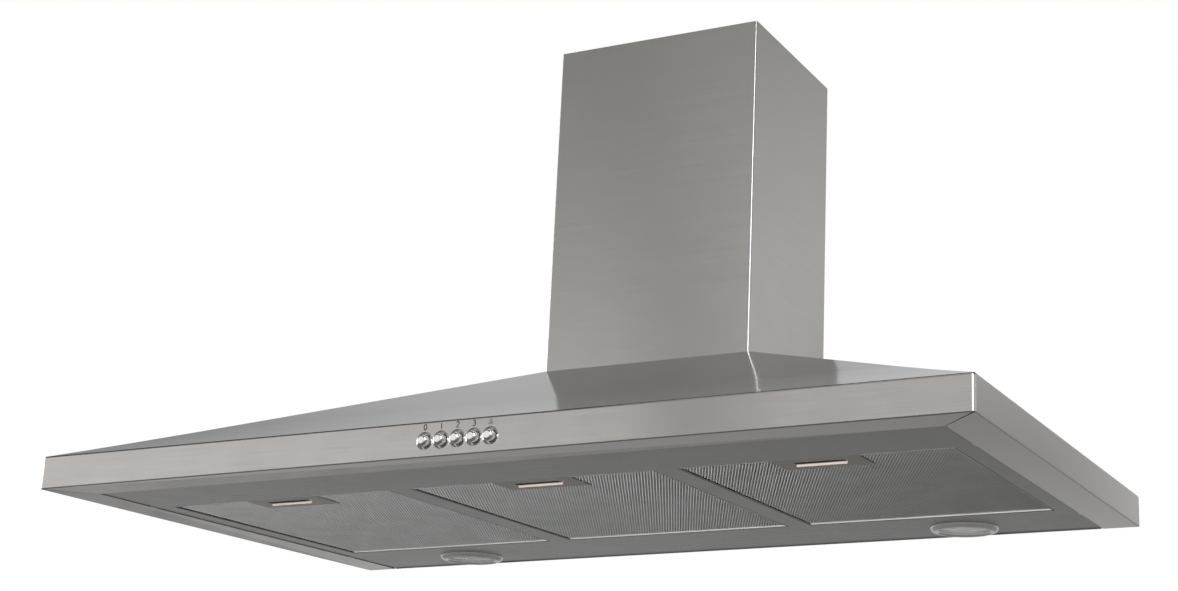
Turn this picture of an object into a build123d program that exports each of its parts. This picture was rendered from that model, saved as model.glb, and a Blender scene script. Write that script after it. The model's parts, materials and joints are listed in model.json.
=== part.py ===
from build123d import *
import os

# A 900 mm wall-mounted chimney cooker hood: a shallow stainless pyramid canopy with three hinged grease
# filters, two lamps and five push buttons, and a centrifugal blower inside a two-piece telescopic chimney.
# Frame: X to the right, -Y out into the room, Z up. The origin is the middle of the wall plane, level
# with the underside of the fascia, so nothing lies behind y = 0. All sizes are in millimetres.

os.makedirs("parts", exist_ok=True)

# ---- driving dimensions ------------------------------------------------------------------------------
canopy_width = 900
canopy_depth = 500
fascia_height = 30
canopy_rise = 130
sheet = 1.0

chimney_width = 228
chimney_depth = 185
chimney_height = 350
chimney_sheet = 0.8
chimney_gap = 0.6
chimney_return = 14

flange_width = 36
lip_width = 12
corner_radius = 3.0
edge_radius = 1.2

filter_pitch = 271
filter_opening_width = 248
filter_opening_rear = -103
filter_opening_front = -387
filter_height = 8
filter_gap = 0.8
hinge_pin_radius = 1.5
running_fit = 0.05

lamp_x = 285
lamp_y = -40
lamp_ring_radius = 34
lamp_glass_radius = 24.5

button_count = 5
button_pitch = 16
button_z = 14
button_radius = 4.8
button_travel = 3
button_edge_radius = 2.2

wheel_radius = 62
wheel_axis_x = -8
wheel_axis_z = 255
shaft_radius = 4
spigot_radius = 60
spigot_x = 0
spigot_y = -92
flap_z = 400
flap_pin_radius = 1.5

wall_hole_radius = 4
wall_hole_spacing_x = 300
wall_hole_spacing_z = 60

# ---- derived levels ----------------------------------------------------------------------------------
canopy_base_z = fascia_height + 0.4
canopy_top_z = fascia_height + canopy_rise
chimney_top_z = canopy_top_z + chimney_height
panel_z = 0.8
panel_top_z = panel_z + sheet
panel_half_width = canopy_width / 2 - flange_width - 1.4
panel_front = -(canopy_depth - flange_width - 1.4)
panel_rear = -1.5
filter_z = 2.6
filter_top_z = filter_z + filter_height
filter_half_width = filter_opening_width / 2 - filter_gap
filter_front = filter_opening_front + filter_gap
filter_rear = filter_opening_rear - filter_gap
filter_hinge_y = filter_opening_rear - 6.2
filter_hinge_z = 6.5
filter_centres = [-filter_pitch, 0, filter_pitch]
filter_names = ["left", "middle", "right"]
button_x = [(i - (button_count - 1) / 2) * button_pitch for i in range(button_count)]
side_names = ["left", "right"]


def save(piece, name):
    """Names a finished piece and writes it to its own file."""
    piece.label = name
    export_step(piece, f"parts/{name}.step")


def box(x0, x1, y0, y1, z0, z1, mode=Mode.ADD):
    """A block between two corners, in the part builder that is open."""
    with Locations(((x0 + x1) / 2, (y0 + y1) / 2, (z0 + z1) / 2)):
        Box(x1 - x0, y1 - y0, z1 - z0, mode=mode)


def rod_y(x, z, radius, y0, y1, mode=Mode.ADD):
    """A cylinder along Y between two depths, in the part builder that is open."""
    with Locations(Location((x, (y0 + y1) / 2, z), (90, 0, 0))):
        Cylinder(radius, y1 - y0, mode=mode)


# ---- fascia band -------------------------------------------------------------------------------------
dish_radius = 7.8
dish_depth = 1.2
dish_wall = 1.2
dish_bulge = 0.12
button_clearance = 0.35
button_hole_radius = button_radius + button_clearance
cutter_reach = 8
seam_width = 0.4


def open_back_outline(sketch, inset, corner):
    """The canopy's plan outline, `inset` inside it in front and at the sides, running past the wall."""
    overrun = 5
    with Locations((0, (overrun - canopy_depth + inset) / 2)):
        Rectangle(canopy_width - 2 * inset, canopy_depth - inset + overrun)
    fillet(sketch.vertices().group_by(Axis.Y)[0], corner)


# the pressed dish round a button, with the button's hole through its floor
with BuildPart() as dish_cutter:
    with BuildSketch():
        with BuildLine():
            Polyline((0, -1), (dish_radius, -1), (dish_radius, 0))
            SagittaArc((dish_radius, 0), (button_hole_radius, dish_depth), -dish_bulge)
            Polyline((button_hole_radius, dish_depth), (button_hole_radius, cutter_reach),
                     (0, cutter_reach), (0, -1))
        make_face()
    revolve(axis=Axis.Y)

with BuildPart() as fascia_band:
    with BuildSketch():
        with Locations((0, -canopy_depth / 2)):
            Rectangle(canopy_width, canopy_depth)
    extrude(amount=fascia_height)
    fillet(fascia_band.edges().filter_by(Axis.Z).group_by(Axis.Y)[0], corner_radius)
    bottom_edges = fascia_band.faces().sort_by(Axis.Z)[0].edges()
    top_edges = fascia_band.faces().sort_by(Axis.Z)[-1].edges()
    fillet((bottom_edges + top_edges).filter_by(lambda edge: edge.center().Y < -sheet), edge_radius)
    with BuildSketch(Plane.XY.offset(sheet)) as cavity:
        open_back_outline(cavity, sheet, corner_radius - sheet)
    extrude(amount=fascia_height - 2 * sheet, mode=Mode.SUBTRACT)
    with BuildSketch() as underside_opening:
        open_back_outline(underside_opening, flange_width, 0.5)
    extrude(amount=sheet, mode=Mode.SUBTRACT)
    with BuildSketch(Plane.XY.offset(fascia_height - sheet)) as top_opening:
        open_back_outline(top_opening, lip_width, 0.5)
    extrude(amount=sheet, mode=Mode.SUBTRACT)
    # mitre seams of the underside flange, one at each front corner
    seam_run = flange_width - corner_radius
    for side in (-1, 1):
        seam_x = side * (canopy_width / 2 - corner_radius - seam_run / 2)
        with BuildSketch():
            with Locations((seam_x, -canopy_depth + corner_radius + seam_run / 2)):
                Rectangle(seam_run * 2**0.5 + 1, seam_width, rotation=-45 * side)
        extrude(amount=sheet, mode=Mode.SUBTRACT)
    with BuildSketch(Plane.XZ.offset(canopy_depth - sheet)):
        with Locations((0, button_z)):
            with GridLocations(button_pitch, 0, button_count, 1):
                Circle(dish_radius + dish_wall)
    extrude(amount=-dish_depth)
    with Locations([(x, -canopy_depth, button_z) for x in button_x]):
        add(dish_cutter.part, mode=Mode.SUBTRACT)
save(fascia_band.part, "fascia_band")

# ---- canopy ------------------------------------------------------------------------------------------
skirt_run = 95
skirt_sag = 1.0
canopy_margin = 1.0
collar_height = 12
collar_half_width = chimney_width / 2 - chimney_sheet - 0.4
collar_front = -(chimney_depth - chimney_sheet - 0.4)
collar_rear = -chimney_sheet - 0.4
sheet_drop = sheet * 1.08


def slope_profile(base, top, back, drop):
    """Half the pyramid's outline: straight from the top, easing flatter over the last skirt_run."""
    rise = canopy_top_z - canopy_base_z
    inward = 1 if top > base else -1
    knee = base + inward * skirt_run
    knee_z = canopy_base_z + rise * skirt_run / abs(base - top) - skirt_sag - drop
    foot = (base, canopy_base_z - drop)
    head = (top, canopy_top_z - drop)
    with BuildSketch() as profile:
        with BuildLine():
            Line(head, (knee, knee_z))
            TangentArc((knee, knee_z), foot, tangent=(knee - top, knee_z - head[1]))
            Polyline(foot, (back, canopy_base_z - drop), (back, canopy_top_z - drop), head)
        make_face()
    return profile.sketch


def pyramid(drop, back):
    """The solid pyramid, lowered by `drop` and reaching back to the depth `back`."""
    with BuildPart() as block:
        with BuildSketch(Plane.YZ):
            add(slope_profile(canopy_margin - canopy_depth, -chimney_depth, back, drop))
        extrude(amount=canopy_width / 2, both=True)
        with BuildSketch(Plane.XZ):
            add(slope_profile(canopy_width / 2 - canopy_margin, chimney_width / 2, 0, drop))
            mirror(about=Plane.YZ)
        extrude(amount=canopy_depth + 10, both=True, mode=Mode.INTERSECT)
    return block.part


with BuildPart() as canopy:
    add(pyramid(0, 0))
    add(pyramid(sheet_drop, 10), mode=Mode.SUBTRACT)
    box(-collar_half_width, collar_half_width, collar_front, collar_rear, canopy_top_z,
        canopy_top_z + collar_height)
    box(-collar_half_width + sheet, collar_half_width - sheet, collar_front + sheet, 1,
        canopy_top_z - 5, canopy_top_z + collar_height + 1, Mode.SUBTRACT)
save(canopy.part, "canopy")

# ---- back panel --------------------------------------------------------------------------------------
back_sheet = 1.2
wall_hole_z = 80
back_half_width = canopy_width / 2 - 2.2
back_lip_x = canopy_width / 2 - lip_width - 1.5
back_bottom_z = panel_top_z - 0.6
back_shoulder_z = fascia_height - 1.4
back_top_z = canopy_top_z - 5.5
frame_screw_z = 127
frame_screw_spacing_x = 140
frame_screw_spacing_z = 18
frame_screw_hole = 2.2
capacitor_radius = 14
capacitor_x = -105
capacitor_z = 64
clip_sheet = 1.2
clip_screw_z = capacitor_z + 25
clip_screw_hole = 1.7

with BuildPart() as back_panel:
    with BuildSketch(Plane.XZ):
        with BuildLine():
            Polyline((0, 0), (panel_half_width, 0), (panel_half_width, back_bottom_z),
                     (back_half_width, back_bottom_z), (back_half_width, back_shoulder_z),
                     (back_lip_x, back_shoulder_z), (back_lip_x, fascia_height + 1.5),
                     (chimney_width / 2 + 2, back_top_z), (0, back_top_z), close=True)
        make_face()
        mirror(about=Plane.YZ)
        with Locations((0, wall_hole_z)):
            with GridLocations(wall_hole_spacing_x, wall_hole_spacing_z, 2, 2):
                Circle(wall_hole_radius, mode=Mode.SUBTRACT)
        with Locations((0, frame_screw_z)):
            with GridLocations(frame_screw_spacing_x, frame_screw_spacing_z, 2, 2):
                Circle(frame_screw_hole, mode=Mode.SUBTRACT)
        with Locations((capacitor_x, clip_screw_z)):
            Circle(clip_screw_hole, mode=Mode.SUBTRACT)
    extrude(amount=back_sheet)
save(back_panel.part, "back_panel")

# ---- bottom panel with the three filter openings -----------------------------------------------------
rim_height = 12
lamp_hole_radius = 27
lug_offset = filter_opening_width / 2 + 1.2
lug_front_reach = 6
lug_rear_reach = 3
lug_height = 10
opening_length = filter_opening_rear - filter_opening_front
opening_mid = (filter_opening_rear + filter_opening_front) / 2

with BuildPart() as bottom_panel:
    box(-panel_half_width, panel_half_width, panel_front, panel_rear, panel_z, panel_z + rim_height)
    box(-panel_half_width + sheet, panel_half_width - sheet, panel_front + sheet, panel_rear - sheet,
        panel_top_z, panel_z + rim_height + 1, Mode.SUBTRACT)
    for centre in filter_centres:
        for side in (-1, 1):
            lug_x = centre + side * (lug_offset + sheet / 2)
            box(lug_x - sheet / 2, lug_x + sheet / 2, filter_hinge_y - lug_front_reach,
                filter_hinge_y + lug_rear_reach, panel_top_z, panel_top_z + lug_height)
    with BuildSketch(Plane.XY.offset(panel_z)):
        with Locations((0, opening_mid)):
            with GridLocations(filter_pitch, 0, 3, 1):
                Rectangle(filter_opening_width, opening_length)
        with Locations((-lamp_x, lamp_y), (lamp_x, lamp_y)):
            Circle(lamp_hole_radius)
    extrude(amount=sheet, mode=Mode.SUBTRACT)
    with Locations(Location((0, filter_hinge_y, filter_hinge_z), (0, 90, 0))):
        Cylinder(hinge_pin_radius + running_fit, 2 * (panel_half_width - 5), mode=Mode.SUBTRACT)
save(bottom_panel.part, "bottom_panel")

# spring clips that hold the bottom panel to the underside flange
clip_y = [-393, -84]
clip_length = 10
clip_bottom_z = 0.2
with BuildPart() as panel_clips:
    for side in (-1, 1):
        for y in clip_y:
            near = side * panel_half_width
            far = side * (panel_half_width + clip_sheet)
            box(min(near, far), max(near, far), y - clip_length / 2, y + clip_length / 2,
                clip_bottom_z, panel_z + rim_height - sheet)
save(panel_clips.part, "panel_clips")

# ---- chimney -----------------------------------------------------------------------------------------
bend_radius = 1.6
upper_width = chimney_width - 2 * (chimney_sheet + chimney_gap)
upper_front = -chimney_depth + chimney_sheet + chimney_gap
upper_rear = -chimney_sheet - chimney_gap
upper_bottom_z = canopy_top_z + collar_height + 1.5
upper_top_z = chimney_top_z - 4
bracket_half_width = 90
bracket_z = 470
bracket_height = 26
bracket_depth = 22
bracket_hole_spacing = 120


def chimney_section(sketch, width, front, rear):
    """The U-shaped section of a chimney cover, with a return along each rear edge."""
    depth = rear - front
    with Locations((0, (front + rear) / 2)):
        Rectangle(width, depth)
    fillet(sketch.vertices().group_by(Axis.Y)[0], bend_radius)
    with Locations((0, (front + rear) / 2)):
        Rectangle(width - 2 * chimney_sheet, depth - 2 * chimney_sheet, mode=Mode.SUBTRACT)
    with Locations((0, rear)):
        Rectangle(width - 2 * chimney_return, 4 * chimney_sheet, mode=Mode.SUBTRACT)


with BuildPart() as lower_chimney:
    with BuildSketch(Plane.XY.offset(canopy_top_z)) as lower_section:
        chimney_section(lower_section, chimney_width, -chimney_depth, 0)
    extrude(amount=chimney_height)
save(lower_chimney.part, "lower_chimney")

with BuildPart() as upper_chimney:
    with BuildSketch(Plane.XY.offset(upper_bottom_z)) as upper_section:
        chimney_section(upper_section, upper_width, upper_front, upper_rear)
    extrude(amount=upper_top_z - upper_bottom_z)
    # recirculation vents, a ladder of slots near the top of each side
    with BuildSketch(Plane.YZ):
        with Locations((spigot_y, upper_top_z - 36)):
            with GridLocations(0, 9, 1, 6):
                SlotOverall(90, 4)
    extrude(amount=chimney_width, both=True, mode=Mode.SUBTRACT)
save(upper_chimney.part, "upper_chimney")

with BuildPart() as chimney_wall_bracket:
    box(-bracket_half_width, bracket_half_width, -back_sheet, 0, bracket_z, bracket_z + bracket_height)
    box(-bracket_half_width, bracket_half_width, -bracket_depth, 0, bracket_z, bracket_z + back_sheet)
    for side in (-1, 1):
        rod_y(side * bracket_hole_spacing / 2, bracket_z + bracket_height / 2 + 1, wall_hole_radius,
              -back_sheet - 1, 1, Mode.SUBTRACT)
save(chimney_wall_bracket.part, "chimney_wall_bracket")

# ---- blower casing, a snail with its throat upwards --------------------------------------------------
casing_front = -150
casing_split = -110
casing_rear = -70
casing_wall = 2.0
throat_top_z = 352
scroll_step = 8
scroll_radii = [70, 70 + scroll_step, 70 + 2 * scroll_step]
scroll_x = wheel_axis_x - scroll_step / 2
scroll_z = wheel_axis_z - scroll_step / 2
throat_right = scroll_x + scroll_step + scroll_radii[2]
# centre and radius of the arcs from top to left, left to bottom and bottom to right
scroll_arcs = [(scroll_x, scroll_z, scroll_radii[0]),
               (scroll_x + scroll_step, scroll_z, scroll_radii[1]),
               (scroll_x + scroll_step, scroll_z + scroll_step, scroll_radii[2])]
foot_z = 147
foot_half_width = 70
foot_thickness = 3
rib_places = [-50, 42]
rib_thickness = 3
rib_height = 45
lug_length = 8
inlet_hole_radius = 52
shaft_hole_radius = 12
casing_screw_radius = 1.5
lug_radius = 4.5
lug_reach = 5.5
motor_screw_circle = 50
motor_screw_radius = 1.8


def scroll_point(arc, angle, grow):
    """A point on one of the snail's arcs, `grow` outside the air space."""
    x, z, radius = scroll_arcs[arc]
    direction = Vector(1, 0).rotate(Axis.Z, angle)
    return (x + (radius + grow) * direction.X, z + (radius + grow) * direction.Y)


def scroll_outline(grow, top):
    """The snail's outline, `grow` outside the air space, with the throat reaching up to `top`."""
    left_wall = scroll_x - grow
    tongue = (left_wall, scroll_z + ((scroll_radii[0] + grow) ** 2 - grow**2) ** 0.5)
    left, bottom = scroll_point(0, 180, grow), scroll_point(1, 270, grow)
    right = scroll_point(2, 0, grow)
    with BuildSketch() as outline:
        with BuildLine():
            ThreePointArc(tongue, scroll_point(0, 135, grow), left)
            ThreePointArc(left, scroll_point(1, 225, grow), bottom)
            ThreePointArc(bottom, scroll_point(2, 315, grow), right)
            Polyline(right, (right[0], top), (left_wall, top), tongue)
        make_face()
    return outline.sketch


lug_points = [scroll_point(0, 150, lug_reach), scroll_point(1, 215, lug_reach),
              scroll_point(2, 325, lug_reach), (throat_right + lug_reach, throat_top_z - 20),
              (scroll_x - lug_reach, throat_top_z - 10)]
motor_screw_points = [(wheel_axis_x + motor_screw_circle * dx, wheel_axis_z + motor_screw_circle * dz)
                      for dx in (-0.7071, 0.7071) for dz in (-0.7071, 0.7071)]
foot_screw_x = 60
foot_screw_inset = 10
foot_screw_y = [casing_front + foot_screw_inset, casing_rear - foot_screw_inset]
screw_clearance = 0.2


def casing_half(near, far, hole_radius):
    """One moulded half of the snail between its outer face `near` and the split `far`."""
    inward = 1 if far > near else -1
    with BuildPart() as half:
        with BuildSketch(Plane.XZ.offset(-near)):
            add(scroll_outline(casing_wall, throat_top_z))
        extrude(amount=-(far - near))
        low, high = min(near, far), max(near, far)
        box(-foot_half_width, foot_half_width, low, high, foot_z, foot_z + foot_thickness)
        for rib_x in rib_places:
            box(rib_x - rib_thickness / 2, rib_x + rib_thickness / 2, low, high, foot_z, foot_z + rib_height)
        for x, z in lug_points:
            rod_y(x, z, lug_radius, *sorted((far, far - lug_length * inward)))
        with BuildSketch(Plane.XZ.offset(-near - casing_wall * inward)):
            add(scroll_outline(0, throat_top_z + 5))
        extrude(amount=-(far - near), mode=Mode.SUBTRACT)
        rod_y(wheel_axis_x, wheel_axis_z, hole_radius, low - 1, high + 1, Mode.SUBTRACT)
        for x, z in lug_points:
            rod_y(x, z, casing_screw_radius + 0.1, low - 1, high + 1, Mode.SUBTRACT)
        for x in (-foot_screw_x, foot_screw_x):
            with Locations((x, near + foot_screw_inset * inward, foot_z + foot_thickness / 2)):
                Cylinder(motor_screw_radius + screw_clearance, 2 * foot_thickness, mode=Mode.SUBTRACT)
        if near == casing_rear:
            for x, z in motor_screw_points:
                rod_y(x, z, motor_screw_radius + 0.1, low - 1, high + 1, Mode.SUBTRACT)
    return half.part


save(casing_half(casing_front, casing_split, inlet_hole_radius), "blower_casing_front")
save(casing_half(casing_rear, casing_split, shaft_hole_radius), "blower_casing_rear")

# bellmouth that guides the air into the wheel
ring_lip_radius = 46
with BuildPart() as inlet_ring:
    with BuildSketch(Plane((wheel_axis_x, 0, wheel_axis_z))):
        with BuildLine():
            Polyline((ring_lip_radius, casing_front + 6), (ring_lip_radius + 1.6, casing_front + 6),
                     (ring_lip_radius + 1.6, casing_front), (ring_lip_radius + 12, casing_front),
                     (ring_lip_radius + 12, casing_front - 1.6), (ring_lip_radius + 4, casing_front - 1.6))
            RadiusArc((ring_lip_radius + 4, casing_front - 1.6), (ring_lip_radius, casing_front + 2.4), 4)
            Line((ring_lip_radius, casing_front + 2.4), (ring_lip_radius, casing_front + 6))
        make_face()
    revolve(axis=Axis((wheel_axis_x, 0, wheel_axis_z), (0, 1, 0)))
save(inlet_ring.part, "inlet_ring")

# ---- impeller, shaft and motor -----------------------------------------------------------------------
blade_count = 36
blade_inner_radius = 50
blade_thickness = 1.2
blade_lean = 35
wheel_front = -142
wheel_rear = -78
wheel_plate = 2
hub_radius = 10
hub_length = 26
motor_radius = 42
motor_slot_depth = 4
motor_slot_front = 12
motor_slot_rear = 10
motor_core_step = 6
grommet_radius = 6
motor_front = -66
motor_rear = -22
motor_cap_depth = 8
mount_plate_radius = 57
mount_plate = 2
shaft_front = -104
shaft_rear = motor_rear - 3 + motor_cap_depth

with BuildPart() as impeller:
    rod_y(wheel_axis_x, wheel_axis_z, wheel_radius, wheel_rear - wheel_plate, wheel_rear)
    rod_y(wheel_axis_x, wheel_axis_z, hub_radius, wheel_rear - hub_length, wheel_rear)
    blade_depth = wheel_radius - blade_inner_radius - 1
    with BuildSketch(Plane((wheel_axis_x, wheel_front, wheel_axis_z), x_dir=(1, 0, 0), z_dir=(0, 1, 0))):
        with PolarLocations((wheel_radius + blade_inner_radius) / 2, blade_count):
            Rectangle(blade_depth, blade_thickness, rotation=blade_lean)
    extrude(amount=wheel_rear - wheel_front - wheel_plate / 2)
    rod_y(wheel_axis_x, wheel_axis_z, wheel_radius, wheel_front, wheel_front + wheel_plate)
    rod_y(wheel_axis_x, wheel_axis_z, blade_inner_radius, wheel_front - 1, wheel_front + wheel_plate,
          Mode.SUBTRACT)
    rod_y(wheel_axis_x, wheel_axis_z, shaft_radius, wheel_front, wheel_rear + 1, Mode.SUBTRACT)
save(impeller.part, "impeller")

with BuildPart() as motor_shaft:
    rod_y(wheel_axis_x, wheel_axis_z, shaft_radius, shaft_front, shaft_rear)
    chamfer(motor_shaft.edges().group_by(Axis.Y)[0], 0.6)
save(motor_shaft.part, "motor_shaft")

with BuildPart() as motor_mount:
    rod_y(wheel_axis_x, wheel_axis_z, mount_plate_radius, motor_front - mount_plate, motor_front)
    rod_y(wheel_axis_x, wheel_axis_z, hub_radius, motor_front - 5, motor_front + 1, Mode.SUBTRACT)
    for x, z in motor_screw_points:
        rod_y(x, z, motor_screw_radius + 0.1, motor_front - 5, motor_front + 1, Mode.SUBTRACT)
save(motor_mount.part, "motor_mount")

with BuildPart() as motor_grommets:
    for x, z in motor_screw_points:
        rod_y(x, z, grommet_radius, casing_rear, motor_front - mount_plate)
    for x, z in motor_screw_points:
        rod_y(x, z, motor_screw_radius + screw_clearance, casing_rear - 1, motor_front, Mode.SUBTRACT)
save(motor_grommets.part, "motor_grommets")

with BuildPart() as motor_body:
    rod_y(wheel_axis_x, wheel_axis_z, motor_radius, motor_front, motor_rear)
    # the core shows as a waist between the two end bells
    rod_y(wheel_axis_x, wheel_axis_z, motor_radius - motor_slot_depth, motor_front + motor_slot_front,
          motor_rear - motor_slot_rear, Mode.SUBTRACT)
    rod_y(wheel_axis_x, wheel_axis_z, motor_radius - motor_core_step, motor_front + motor_slot_front,
          motor_rear - motor_slot_rear)
    rod_y(wheel_axis_x, wheel_axis_z, shaft_radius + running_fit, motor_front - 1, motor_rear + 1,
          Mode.SUBTRACT)
save(motor_body.part, "motor_body")

with BuildPart() as motor_end_cap:
    rod_y(wheel_axis_x, wheel_axis_z, motor_radius, motor_rear, motor_rear + motor_cap_depth)
    fillet(motor_end_cap.edges().group_by(Axis.Y)[-1], 4)
    rod_y(wheel_axis_x, wheel_axis_z, shaft_radius + running_fit, motor_rear - 1, shaft_rear + 0.5,
          Mode.SUBTRACT)
save(motor_end_cap.part, "motor_end_cap")

# ---- frame that carries the blower from the back panel -----------------------------------------------
frame_sheet = 2
frame_front = -160
frame_back = -back_sheet
frame_bottom_z = 112
frame_side_drop = 14
frame_window_radius = 6
# middle, width and depth of the two windows in the shelf
frame_windows = [(-110, 100, 56), (-38, 150, 44)]

with BuildPart() as blower_frame:
    box(-bracket_half_width, bracket_half_width, frame_front, frame_back, foot_z - frame_sheet, foot_z)
    box(-bracket_half_width, bracket_half_width, frame_back - back_sheet, frame_back, frame_bottom_z, foot_z)
    for side in (-1, 1):
        box(side * bracket_half_width - 1, side * bracket_half_width + 1, frame_front, frame_back,
            foot_z - frame_side_drop, foot_z)
    with BuildSketch(Plane.XY.offset(foot_z - frame_sheet)):
        for middle, width, depth in frame_windows:
            with Locations((0, middle)):
                RectangleRounded(width, depth, frame_window_radius)
        with Locations([(x, y) for x in (-foot_screw_x, foot_screw_x) for y in foot_screw_y]):
            Circle(motor_screw_radius + screw_clearance)
    extrude(amount=frame_sheet, mode=Mode.SUBTRACT)
    with BuildSketch(Plane.XZ.offset(-frame_back)):
        with Locations((0, frame_screw_z)):
            with GridLocations(frame_screw_spacing_x, frame_screw_spacing_z, 2, 2):
                Circle(frame_screw_hole)
    extrude(amount=back_sheet * 2, mode=Mode.SUBTRACT)
save(blower_frame.part, "blower_frame")

# ---- outlet spigot with its two non-return flaps -----------------------------------------------------
spigot_wall = 2
spigot_base_z = throat_top_z + 3
spigot_neck_z = 384
spigot_top_z = 436
throat_mid_x = (scroll_x + throat_right) / 2
throat_mid_y = (casing_front + casing_rear) / 2
throat_width = throat_right - scroll_x
throat_depth = casing_rear - casing_front - 2 * casing_wall
spigot_flange_x = 6
spigot_flange_y = 4


def spigot_body(grow):
    """The spigot's space, from the throat's rectangle up to the round duct size."""
    with BuildPart() as body:
        with BuildSketch(Plane.XY.offset(spigot_base_z)):
            with Locations((throat_mid_x, throat_mid_y)):
                Rectangle(throat_width + 2 * grow, throat_depth + 2 * grow)
        with BuildSketch(Plane.XY.offset(spigot_neck_z)):
            with Locations((spigot_x, spigot_y)):
                Circle(spigot_radius - spigot_wall + grow)
        loft()
        with BuildSketch(Plane.XY.offset(spigot_neck_z)):
            with Locations((spigot_x, spigot_y)):
                Circle(spigot_radius - spigot_wall + grow)
        extrude(amount=spigot_top_z - spigot_neck_z)
    return body.part


with BuildPart() as outlet_spigot:
    add(spigot_body(spigot_wall))
    with BuildSketch(Plane.XY.offset(throat_top_z)):
        with Locations((throat_mid_x, throat_mid_y)):
            Rectangle(throat_width + 2 * (casing_wall + spigot_flange_x),
                      throat_depth + 2 * (casing_wall + spigot_flange_y))
    extrude(amount=spigot_base_z - throat_top_z)
    add(spigot_body(0), mode=Mode.SUBTRACT)
    with BuildSketch(Plane.XY.offset(throat_top_z)):
        with Locations((throat_mid_x, throat_mid_y)):
            Rectangle(throat_width, throat_depth)
    extrude(amount=spigot_base_z - throat_top_z, mode=Mode.SUBTRACT)
    rod_y(spigot_x, flap_z, flap_pin_radius, spigot_y - spigot_radius - 1, spigot_y + spigot_radius + 1,
          Mode.SUBTRACT)
save(outlet_spigot.part, "outlet_spigot")

with BuildPart() as flap_pin:
    rod_y(spigot_x, flap_z, flap_pin_radius, spigot_y - spigot_radius, spigot_y + spigot_radius)
save(flap_pin.part, "flap_pin")

flap_radius = 57
flap_sheet = 1.2
knuckle_radius = 3
knuckle_clearance = 0.4
knuckle_spans = {-1: [(-52, -26.5), (0.5, 26)], 1: [(-26, 0), (26.5, 52)]}

for side, side_name in zip((-1, 1), side_names):
    with BuildPart() as flap:
        with BuildSketch(Plane.XY.offset(flap_z - flap_sheet / 2)):
            with Locations((spigot_x, spigot_y)):
                Circle(flap_radius)
            with Locations((spigot_x - side * (flap_radius - knuckle_radius - knuckle_clearance), spigot_y)):
                Rectangle(2 * flap_radius, 2 * flap_radius, mode=Mode.SUBTRACT)
            for start, end in knuckle_spans[side]:
                with Locations((spigot_x + side * knuckle_radius, spigot_y + (start + end) / 2)):
                    Rectangle(2 * knuckle_radius, end - start)
        extrude(amount=flap_sheet)
        for start, end in knuckle_spans[side]:
            rod_y(spigot_x, flap_z, knuckle_radius, spigot_y + start, spigot_y + end)
        rod_y(spigot_x, flap_z, flap_pin_radius + running_fit, spigot_y - spigot_radius,
              spigot_y + spigot_radius, Mode.SUBTRACT)
    save(flap.part, f"flap_{side_name}")

# ---- electrics on the back panel ---------------------------------------------------------------------
box_left, box_right = -292, -212
box_front = -34
box_bottom_z, box_top_z = 45, 79
box_wall = 2
lid_depth = 2.5
lid_screw_x = [box_left + 8, box_right - 8]
lid_screw_z = 52
gland_z = 62
gland_y = -18
gland_radius = 8
gland_neck_radius = 5.5
gland_length = 14
cable_radius = 4
block_depth = 14
block_z = 63
block_pole_pitch = 9
block_row_pitch = 7
block_screw_radius = 2.2

with BuildPart() as terminal_box:
    box(box_left, box_right, box_front, -back_sheet, box_bottom_z, box_top_z)
    box(box_left + box_wall, box_right - box_wall, box_front - 1, -back_sheet - box_wall,
        box_bottom_z + box_wall, box_top_z - box_wall, Mode.SUBTRACT)
    with Locations(Location((box_right, gland_y, gland_z), (0, 90, 0))):
        Cylinder(gland_neck_radius, 10, mode=Mode.SUBTRACT)
save(terminal_box.part, "terminal_box")

with BuildPart() as terminal_box_lid:
    box(box_left, box_right, box_front - lid_depth, box_front, box_bottom_z, box_top_z)
    fillet(terminal_box_lid.edges().filter_by(Axis.Y), 3)
    chamfer(terminal_box_lid.faces().sort_by(Axis.Y)[0].edges(), 0.8)
    for x in lid_screw_x:
        rod_y(x, lid_screw_z, 1.5, box_front - lid_depth - 1, box_front + 1, Mode.SUBTRACT)
save(terminal_box_lid.part, "terminal_box_lid")

with BuildPart() as terminal_block:
    box(box_left + 8, box_right - 16, -back_sheet - box_wall - block_depth, -back_sheet - box_wall,
        block_z - block_row_pitch, block_z + block_row_pitch)
    with BuildSketch(Plane.XZ.offset(back_sheet + box_wall + block_depth)):
        with Locations(((box_left + box_right - 8) / 2, block_z)):
            with GridLocations(block_pole_pitch, block_row_pitch, 5, 2):
                Circle(block_screw_radius)
    extrude(amount=-6, mode=Mode.SUBTRACT)
save(terminal_block.part, "terminal_block")

with BuildPart() as cable_gland:
    with Locations(Location((box_right + gland_length / 2, gland_y, gland_z), (0, 90, 0))):
        Cylinder(gland_radius, gland_length)
    fillet(cable_gland.faces().sort_by(Axis.X)[-1].edges(), 2)
    with Locations(Location((box_right - box_wall, gland_y, gland_z), (0, 90, 0))):
        Cylinder(gland_neck_radius, 2 * box_wall)
    with Locations(Location((box_right, gland_y, gland_z), (0, 90, 0))):
        Cylinder(cable_radius, 40, mode=Mode.SUBTRACT)
save(cable_gland.part, "cable_gland")

capacitor_length = 56
clip_width = 14
capacitor_y = -back_sheet - clip_sheet - capacitor_radius

with BuildPart() as capacitor:
    with Locations(Location((capacitor_x, capacitor_y, capacitor_z), (0, 90, 0))):
        Cylinder(capacitor_radius, capacitor_length)
    fillet(capacitor.edges(), 1.5)
save(capacitor.part, "capacitor")

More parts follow.
